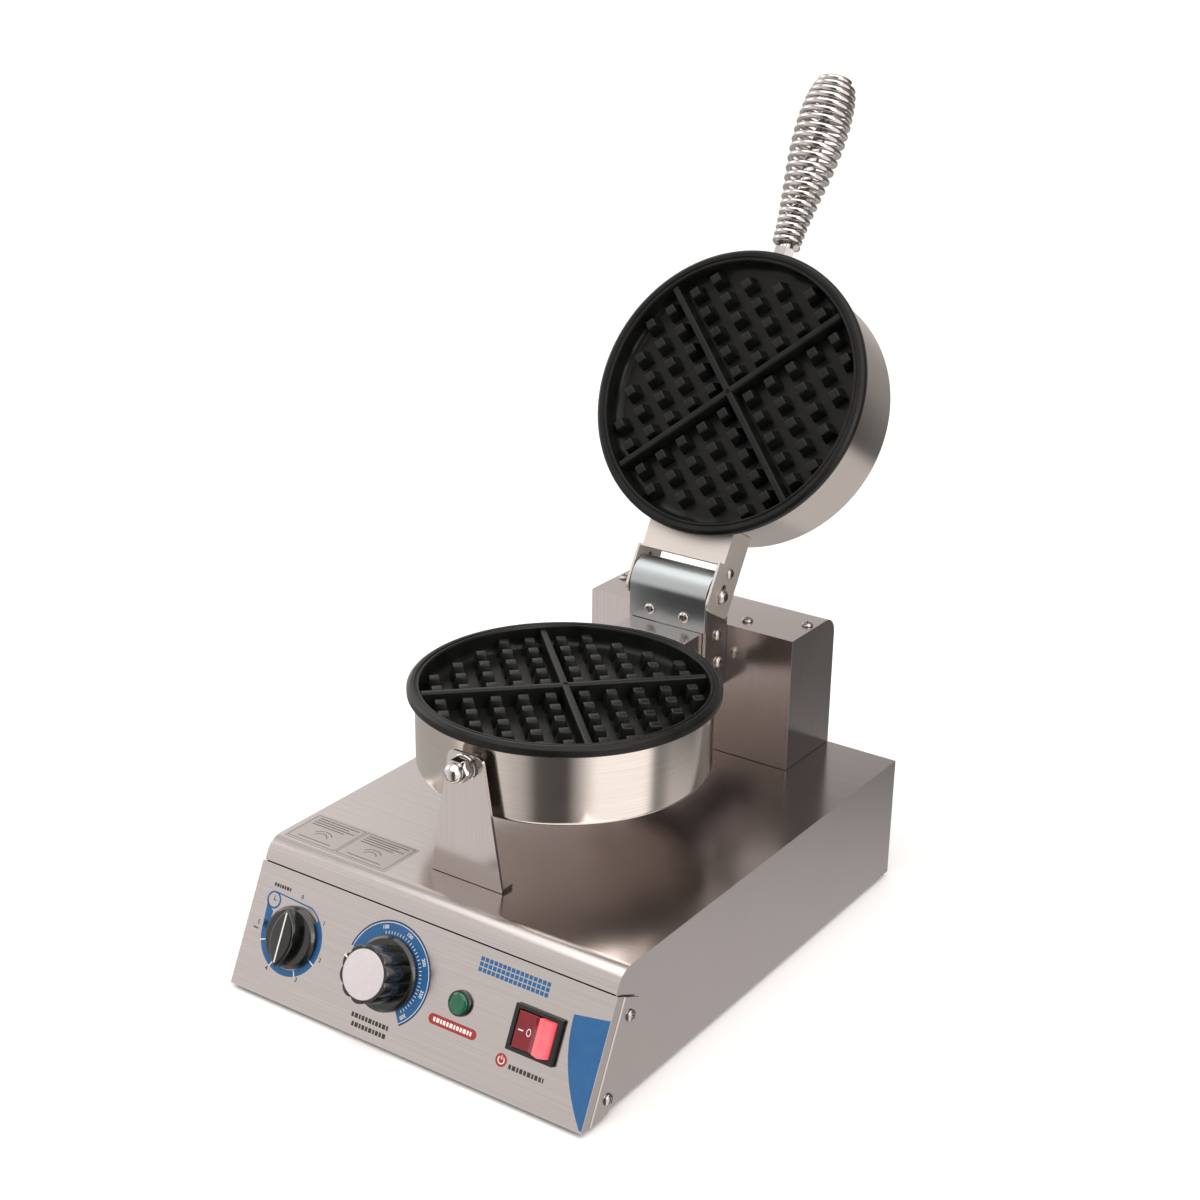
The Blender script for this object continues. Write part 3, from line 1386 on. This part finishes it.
    def switch(self) -> None:
        """The rocker switch: a bezel with rounded edges, and a translucent rocker lit at its raised end."""
        self.dress(folded_copy("switch_frame", 0.6, 3), SWITCH_BLACK, Body.BASE, "switch_frame")
        rocker = folded_copy("rocker", 0.35, 2)
        rocker.data.materials.append(RED_ROCKER.material())
        rocker.data.materials.append(LIT_ROCKER.material())
        low, high = box_in(self.place, "rocker")
        lit_from = (low.x + high.x) / 2 * MM + self.lit_from_mm * MM
        back = self.place.inverted()
        shell = bmesh.new()
        shell.from_mesh(rocker.data)
        whole = list(shell.verts) + list(shell.edges) + list(shell.faces)
        cut_at = self.place @ Vector((lit_from, 0, 0))
        across = self.place.to_3x3() @ Vector((1, 0, 0))
        bmesh.ops.bisect_plane(shell, geom=whole, dist=1e-6, plane_co=cut_at, plane_no=across)
        for face in shell.faces:
            face.material_index = 1 if (back @ face.calc_center_median()).x > lit_from else 0
        shell.to_mesh(rocker.data)
        shell.free()
        self.dress(rocker, RED_ROCKER, Body.ROCKER, "rocker")
        self.rocker_marks(Vector(((low.x + high.x) / 2, (low.y + high.y) / 2, high.z)))

    def rocker_marks(self, top: Vector) -> None:
        """Pale on and off marks on the pressed half of the rocker's face.

        Args:
            top: middle of the rocker, at its highest point, in the panel's frame.
        """
        back = self.place.inverted()
        faces = [f for f in frame["nodes"]["rocker"].data.polygons
                 if (back.to_3x3() @ f.normal).z > 0.6 and (back @ f.center).x / MM < top.x]
        face = max(faces, key=lambda f: f.area)
        normal = back.to_3x3() @ face.normal
        spot = back @ face.center / MM
        lean = math.atan2(normal.x, normal.z)
        origin = Vector((top.x, top.y, spot.z + (spot.x - top.x) * normal.x / normal.z))
        lie = Matrix.Translation(origin) @ Matrix.Rotation(lean, 4, "Y")
        marks = Shape()
        marks.add(*self.slab((-9.4, -6.2), (-0.35, 0.35)), lie)
        marks.turned([(1.3, -0.05), (1.75, -0.05), (1.75, self.ink_mm), (1.3, self.ink_mm)], 40,
                     lie @ Matrix.Translation((-2.9, 0, 0)) @ Matrix.Diagonal((0.75, 1.25, 1, 1)))
        self.dress(marks.place("rocker_marks", self.place), PALE_INK, Body.ROCKER)

    def slab(self, x: Point, y: Point) -> tuple[list[Sequence[float]], list[Sequence[int]]]:
        """Corners and faces of a thin slab of ink between pairs of x and y."""
        points = [(a, b, z) for z in (-0.05, self.ink_mm) for b in y for a in x]
        return points, [(0, 1, 3, 2), (4, 5, 7, 6), (0, 1, 5, 4), (2, 3, 7, 6), (0, 2, 6, 4), (1, 3, 7, 5)]


@dataclass
class PanelPrint(Assembly):
    """Printed scales, captions and plain blue shapes on the panel, as thin ink in the panel's frame."""

    place: Matrix
    ink_mm: float = 0.06
    over_mm: float = 0.1
    timer_at: Point = (-91.0, 37.9)
    timer_radii: Point = (18.6, 22.4)
    clock_at: Point = (-110.0, 54.6)
    dial_at: Point = (-19.7, 39.6)
    dial_radii: Point = (21.0, 29.2)
    dial_span_deg: Point = (165.0, -56.0)

    def build(self) -> None:
        """Print the panel."""
        self.timer_scale()
        self.temperature_scale()
        self.lamp_caption()
        self.power_caption()
        self.plain_shapes()

    def ink(self, shape: Shape, name: str, finish: Finish) -> None:
        """Lay a shape on the panel as ink."""
        self.dress(shape.place(name, self.place), finish, Body.BASE)

    def timer_scale(self) -> None:
        """A blue band round the timer, a clock in its corner and the minutes round it."""
        centre, (inner, outer), top = self.timer_at, self.timer_radii, self.ink_mm
        band = Shape().sector(centre, (inner, outer), (-192, 42), 0, top)
        band.sector(centre, (outer - 0.9, outer), (42, 66), 0, top)
        x, y = self.clock_at
        end = (centre[0] + outer * math.cos(math.radians(66)), centre[1] + outer * math.sin(math.radians(66)))
        band.prism([(x + 0.5, y + 5.2), (x + 0.5, y + 4.4), (end[0], end[1] - 0.9), end], 0, top)
        tail = [(-4.2, -0.5), (-2.8, -3.4), (1.5, -6.5), (0.4, -17.0), (-3.3, -17.0)]
        band.prism([(x + across, y + up) for across, up in tail], 0, top)
        band.turned([(4.1, 0), (5.2, 0), (5.2, top), (4.1, top)], 48, Matrix.Translation((x, y, 0)))
        band.bar((x - 0.3, x + 0.3), (y - 0.3, y + 2.6), (0, top))
        band.bar((x - 0.3, x + 1.9), (y - 0.3, y + 0.3), (0, top))
        self.ink(band, "timer_band", BLUE_INK)
        pale = Shape()
        for angle in (-27, -66, -117, -160):
            turn = Matrix.Translation((*centre, 0)) @ Matrix.Rotation(math.radians(angle), 4, "Z")
            pale.bar((inner + 0.4, outer + 0.4), (-0.35, 0.35), (0, self.over_mm), turn)
        self.ink(pale, "timer_ticks", PALE_INK)
        words = Shape()
        digits = {
            "0": (-90.4, 61.9), "1": (-70.8, 52.4), "2": (-67.0, 31.9), "3": (-80.0, 16.2),
            "4": (-102.8, 15.9), "5": (-116.6, 39.2)}
        for digit, at in digits.items():
            words.text(digit, at, 3.6, top)
        self.dashes(words, (-112.5, -99.0), 62.4, 2.0)
        self.dashes(words, (-119.6, -115.4), 35.2, 1.0)
        self.ink(words, "timer_figures", DARK_INK)

    def temperature_scale(self) -> None:
        """A blue band with a pale line, a dark outline, ticks and figures in degrees."""
        centre, (inner, outer), span = self.dial_at, self.dial_radii, self.dial_span_deg
        self.ink(Shape().sector(centre, (inner, outer), span, 0, self.ink_mm), "dial_band", BLUE_INK)
        dark = Shape().sector(centre, (outer, outer + 0.55), span, 0, self.ink_mm)
        self.dashes(dark, (-36.0, -9.0), 9.9, 2.6)
        self.dashes(dark, (-34.5, -10.0), 5.0, 2.6)
        self.ink(dark, "dial_outline", DARK_INK)
        pale = Shape().sector(centre, (outer - 0.95, outer - 0.6), span, 0, self.over_mm)
        figures = ("100", "150", "200", "250", "300")
        first, last = span[0] - 55, span[1] + 9
        for i, figure in enumerate(figures):
            angle = first + (last - first) * i / (len(figures) - 1)
            at = arc(centre, outer - 3.4, angle, angle, 1)[0]
            pale.text(figure, at, 3.0, self.over_mm, angle - 90)
        self.ink(pale, "dial_figures", PALE_INK)
        tick = Shape().bar((inner + 0.9, inner + 2.6), (-0.2, 0.2), (0, self.over_mm)).place("tick", Matrix())
        count = 30
        turns = [math.radians(first + (last - first) * i / count) for i in range(count + 1)]
        at = Matrix.Translation((centre[0] * MM, centre[1] * MM, 0))
        spots = [self.place @ at @ Matrix.Rotation(turn, 4, "Z") for turn in turns]
        self.dress(copies("dial_ticks", tick, spots, PALE_INK), PALE_INK, Body.BASE)

    def lamp_caption(self) -> None:
        """A red pill under the lamp with a row of pale dashes in it."""
        x, y, half, radius = 31.0, 26.4, 16.5, 2.9
        reach = half - radius
        pill = arc((x + reach, y), radius, -90, 90, 12) + arc((x - reach, y), radius, 90, 270, 12)
        self.ink(Shape().prism(pill, 0, self.ink_mm), "lamp_caption_pill", RED_INK)
        caption = self.dashes(Shape(), (x - 13.2, x + 13.2), y - 1.2, 2.4, self.over_mm)
        self.ink(caption, "lamp_caption_dashes", PALE_INK)

    def power_caption(self) -> None:
        """A red disc with a power sign and a row of dark dashes beside it, under the switch."""
        x, y = 66.5, 19.9
        disc = [(0, 0), (3.7, 0), (3.7, self.ink_mm), (0, self.ink_mm)]
        self.ink(Shape().turned(disc, 48, Matrix.Translation((x, y, 0))), "power_disc", RED_INK)
        sign = Shape().sector((x, y), (1.7, 2.3), (125, 415), 0, self.over_mm)
        sign.bar((x - 0.25, x + 0.25), (y + 0.3, y + 2.6), (0, self.over_mm))
        self.ink(sign, "power_sign", PALE_INK)
        self.ink(self.dashes(Shape(), (x + 5.4, x + 28.5), y - 3.0, 2.6), "power_dashes", DARK_INK)

    def dashes(self, shape: Shape, x: Point, y: float, high: float, top: float = 0.06) -> Shape:
        """Add a row of dashes of uneven length, which stands in for a caption.

        Args:
            shape: the ink that they join.
            x: start and end of the row.
            y: its foot.
            high: height of each dash.
            top: how far the ink stands up.

        Returns:
            The same ink.
        """
        start, step = x[0], 0
        while start < x[1] - 0.8:
            end = min(start + high * (0.62, 0.85, 0.5, 0.74)[step % 4], x[1])
            shape.bar((start, end), (y, y + high), (0, top))
            start, step = end + high * 0.28, step + 1
        return shape

    def plain_shapes(self) -> None:
        """A strip of waffle squares where a name would be, and a tapered blue stripe at the panel's edge."""
        panel = box_in(self.place, "control_panel")
        edge = panel[1].x - 1.1
        left = [(102.6 + 20.6 * t ** 2.1, 57.5 - 56.0 * t) for t in (i / 12 for i in range(13))]
        stripe = [(edge, 1.5), (edge, 61.0), *left]
        ink = Shape().prism(stripe, 0, self.ink_mm)
        square, gap = 2.3, 0.65
        for column in range(16):
            for row in range(3):
                x, y = 37.8 + column * (square + gap), 60.2 + row * (square + gap)
                ink.bar((x, x + square), (y, y + square), (0, self.ink_mm))
        self.ink(ink, "blue_stripe_and_squares", BLUE_INK)


# ---------------------------------------------------------------- studio
class Across(Enum):
    """Ways in which the edge of a patch of the surroundings can run."""

    AZIMUTH = "azimuth"
    HEIGHT = "height"


@dataclass(frozen=True)
class Edge:
    """A soft edge of a patch, rising from nothing at its start to full at its end, in degrees or height."""

    across: Across
    start: float
    end: float


@dataclass(frozen=True)
class Patch:
    """A part of the surroundings that the steel mirrors at a brightness of its own."""

    level: float
    edges: tuple[Edge, ...]


@dataclass
class Studio:
    """Pale floor, soft lights, bands of light and dark for the steel to mirror, and the camera."""

    camera_at: tuple[float, float, float] = (0.63495, -0.96010, 0.65547)
    azimuth_deg: float = 34.38
    elevation_deg: float = 21.53
    roll_deg: float = 0.91
    lens_mm: float = 61.79
    floor_m: float = 14.0
    band_tint: tuple[float, float, float] = (1.0, 0.955, 0.925)
    # azimuth in degrees and brightness, all the way round
    bands: tuple[Point, ...] = (
        (-180, 0.35), (-158, 0.6), (-139, 0.95), (-132, 1.2), (-105, 1.1), (-80, 0.85), (-48, 1.0),
        (-25, 0.85), (4, 0.5), (14, 0.1), (38, 0.07), (46, 0.45), (60, 1.25), (102, 1.25),
        (109, 0.25), (135, 0.14), (150, 0.08), (166, 0.3))
    patches: tuple[Patch, ...] = (
        Patch(0.45, (Edge(Across.HEIGHT, 0.6, 0.85),)),
        Patch(0.06, (Edge(Across.AZIMUTH, -141, -149), Edge(Across.HEIGHT, 0.41, 0.49),
                     Edge(Across.HEIGHT, 0.75, 0.6))),
        Patch(0.45, (Edge(Across.AZIMUTH, -42, -60), Edge(Across.HEIGHT, -0.18, -0.32))),
        Patch(0.62, (Edge(Across.AZIMUTH, 112, 128), Edge(Across.HEIGHT, -0.4, -0.5))))

    def build(self) -> None:
        """Set up the whole studio."""
        self.floor()
        self.world()
        self.lights()
        self.camera()

    def floor(self) -> None:
        """A plain pale floor that mirrors do not see."""
        half = self.floor_m / 2 / MM
        made = Shape().bar((-half, half), (-half, half), (-20, 0)).place("studio_floor", Matrix())
        made.data.materials.append(self.plain("matt_white_floor", "fdfcfb"))
        made.visible_glossy = False

    def plain(self, name: str, hex_code: str) -> bpy.types.Material:
        """Build a matt material for the studio itself.

        Args:
            name: the material's name.
            hex_code: its colour.

        Returns:
            The material.
        """
        made = bpy.data.materials.new(name)
        made.use_nodes = True
        shader = made.node_tree.nodes["Principled BSDF"]
        shader.inputs["Base Color"].default_value = linear(hex_code)
        shader.inputs["Roughness"].default_value = 0.9
        return made

    def tinted(self, level: float) -> Rgba:
        """Linear colour of a band of a given brightness."""
        return (*(level * share for share in self.band_tint), 1.0)

    def world(self) -> None:
        """White behind the object, and upright bands of light and dark in what it mirrors."""
        world = bpy.data.worlds.new("studio")
        world.use_nodes = True
        bpy.context.scene.world = world
        tree = world.node_tree
        tree.nodes.clear()
        direction = add_node(tree, "ShaderNodeTexCoord").outputs["Generated"]
        parts = add_node(tree, "ShaderNodeSeparateXYZ", {0: direction})
        front = add_node(tree, "ShaderNodeMath", {0: parts.outputs[1], 1: -1.0}, operation="MULTIPLY")
        sides = {0: parts.outputs[0], 1: front.outputs[0]}
        angle = add_node(tree, "ShaderNodeMath", sides, operation="ARCTAN2")
        share = add_node(tree, "ShaderNodeMapRange", {
            "Value": angle.outputs[0], "From Min": -math.pi, "From Max": math.pi})
        ramp = add_node(tree, "ShaderNodeValToRGB", {0: share.outputs[0]})
        stops = ramp.color_ramp.elements
        stops[0].position, stops[0].color = 0.0, self.tinted(self.bands[0][1])
        stops[1].position, stops[1].color = 1.0, self.tinted(self.bands[0][1])
        for degrees, level in self.bands[1:]:
            stops.new((degrees + 180) / 360).color = self.tinted(level)
        colour = ramp.outputs[0]
        measured = {Across.AZIMUTH: angle.outputs[0], Across.HEIGHT: parts.outputs[2]}
        for patch in self.patches:
            cover = None
            for edge in patch.edges:
                unit = math.radians(1) if edge.across is Across.AZIMUTH else 1.0
                limits = {"Value": measured[edge.across], "From Min": edge.start * unit,
                          "From Max": edge.end * unit}
                rise = add_node(
                    tree, "ShaderNodeMapRange", limits, interpolation_type="SMOOTHSTEP").outputs[0]
                if cover is None:
                    cover = rise
                    continue
                both = {0: cover, 1: rise}
                cover = add_node(tree, "ShaderNodeMath", both, operation="MULTIPLY").outputs[0]
            mix = {0: cover, 6: colour, 7: self.tinted(patch.level)}
            colour = add_node(tree, "ShaderNodeMix", mix, data_type="RGBA").outputs[2]
        banded = add_node(tree, "ShaderNodeBackground", {"Color": colour, "Strength": 1.0})
        white = add_node(tree, "ShaderNodeBackground", {"Color": linear("ffffff"), "Strength": 1.0})
        seen = add_node(tree, "ShaderNodeLightPath").outputs["Is Camera Ray"]
        picked = add_node(tree, "ShaderNodeMixShader", {0: seen, 1: banded.outputs[0], 2: white.outputs[0]})
        add_node(tree, "ShaderNodeOutputWorld", {0: picked.outputs[0]})
        bpy.context.scene.view_settings.view_transform = "Standard"

    def lights(self) -> None:
        """An even soft light from above, and a softbox at each side."""
        for name, kind, at, size, power in (
                ("overhead", "SUN", (0.3, -0.5, 3.0), math.radians(80), 2.1),
                ("right_softbox", "AREA", (1.5, -0.8, 0.9), 0.9, 7.0),
                ("left_softbox", "AREA", (-1.5, -0.3, 0.9), 1.0, 4.0)):
            light = bpy.data.lights.new(name, kind)
            light.energy = power
            light.color = (1.0, 0.985, 0.97)
            if kind == "SUN":
                light.angle = size
            else:
                light.size = size
            lamp = bpy.data.objects.new(name, light)
            lamp.location = at
            lamp.rotation_euler = (Vector((0, -0.05, 0.2)) - Vector(at)).to_track_quat("-Z", "Y").to_euler()
            bpy.context.scene.collection.objects.link(lamp)

    def camera(self) -> None:
        """The camera, turned by its azimuth, elevation and roll."""
        turns = (self.azimuth_deg, self.elevation_deg, self.roll_deg)
        azimuth, elevation, roll = (math.radians(turn) for turn in turns)
        back = Vector((math.sin(azimuth) * math.cos(elevation), -math.cos(azimuth) * math.cos(elevation),
                       math.sin(elevation)))
        right = Vector((0, 0, 1)).cross(back).normalized()
        up = back.cross(right)
        turned_right = math.cos(roll) * right + math.sin(roll) * up
        turned_up = math.cos(roll) * up - math.sin(roll) * right
        lens = bpy.data.cameras.new("camera")
        lens.lens = self.lens_mm
        lens.clip_end = 50
        made = bpy.data.objects.new("camera", lens)
        bpy.context.scene.collection.objects.link(made)
        turn = Matrix((turned_right, turned_up, back)).transposed().to_4x4()
        made.matrix_world = Matrix.Translation(self.camera_at) @ turn
        bpy.context.scene.camera = made


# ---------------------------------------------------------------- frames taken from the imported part
def joint_named(name: str) -> dict:
    """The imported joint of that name."""
    return next(joint for joint in frame["joints"] if joint["name"] == name)


def panel_frame() -> Matrix:
    """Set up the frame that the controls and the print are laid out in.

    Returns:
        Frame on the middle of the panel's lower front edge: x across, y up the panel, z out of it.
    """
    out = -Vector(joint_named("timer_turn")["axis"]).normalized()
    across = Vector((1, 0, 0))
    low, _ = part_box("control_panel")
    turn = Matrix((across, out.cross(across), out)).transposed().to_4x4()
    return Matrix.Translation((0, low.y, low.z)) @ turn


def lid_frame() -> Matrix:
    """Set up the frame that moves with the lid.

    Returns:
        Frame on the hinge axis, level when the lid is shut, as it stands when the lid is open.
    """
    hinge = joint_named("lid_hinge")
    open_by = math.radians(hinge["range_deg"][1])
    return Matrix.Translation(hinge["pos_m"]) @ Matrix.Rotation(-open_by, 4, "X")


def head_frames(lid: Matrix) -> tuple[Matrix, Matrix]:
    """Set up the frames that the two heads are built in.

    Args:
        lid: the lid's frame.

    Returns:
        Frames on the rims of the lower and the upper plate, each facing out of its cavity.
    """
    low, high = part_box("lower_plate")
    lower = Matrix.Translation(((low.x + high.x) / 2, (low.y + high.y) / 2, high.z))
    low, high = box_in(lid, "upper_plate")
    at = Vector(((low.x + high.x) / 2, (low.y + high.y) / 2, low.z)) * MM
    upper = lid @ Matrix.Translation(at) @ Matrix.Rotation(math.pi, 4, "Y")
    return lower, upper


def main() -> None:
    """Build and dress the waffle maker from the floor up, then the studio."""
    logging.basicConfig(level=logging.INFO, format="%(message)s")
    panel, lid = panel_frame(), lid_frame()
    lower, upper = head_frames(lid)
    assemblies = [
        Studio(), Housing(), PanelPrint(panel), Controls(panel), Supports(),
        CookingHead("lower", Body.BASE, lower, SPUN_STEEL),
        CookingHead("upper", Body.LID, upper, SPUN_LID_STEEL),
        Hinge(), Handle(lid), Fasteners()]
    for assembly in assemblies:
        log.info("building %s", type(assembly).__name__)
        assembly.build()


if __name__ == "__main__":
    main()
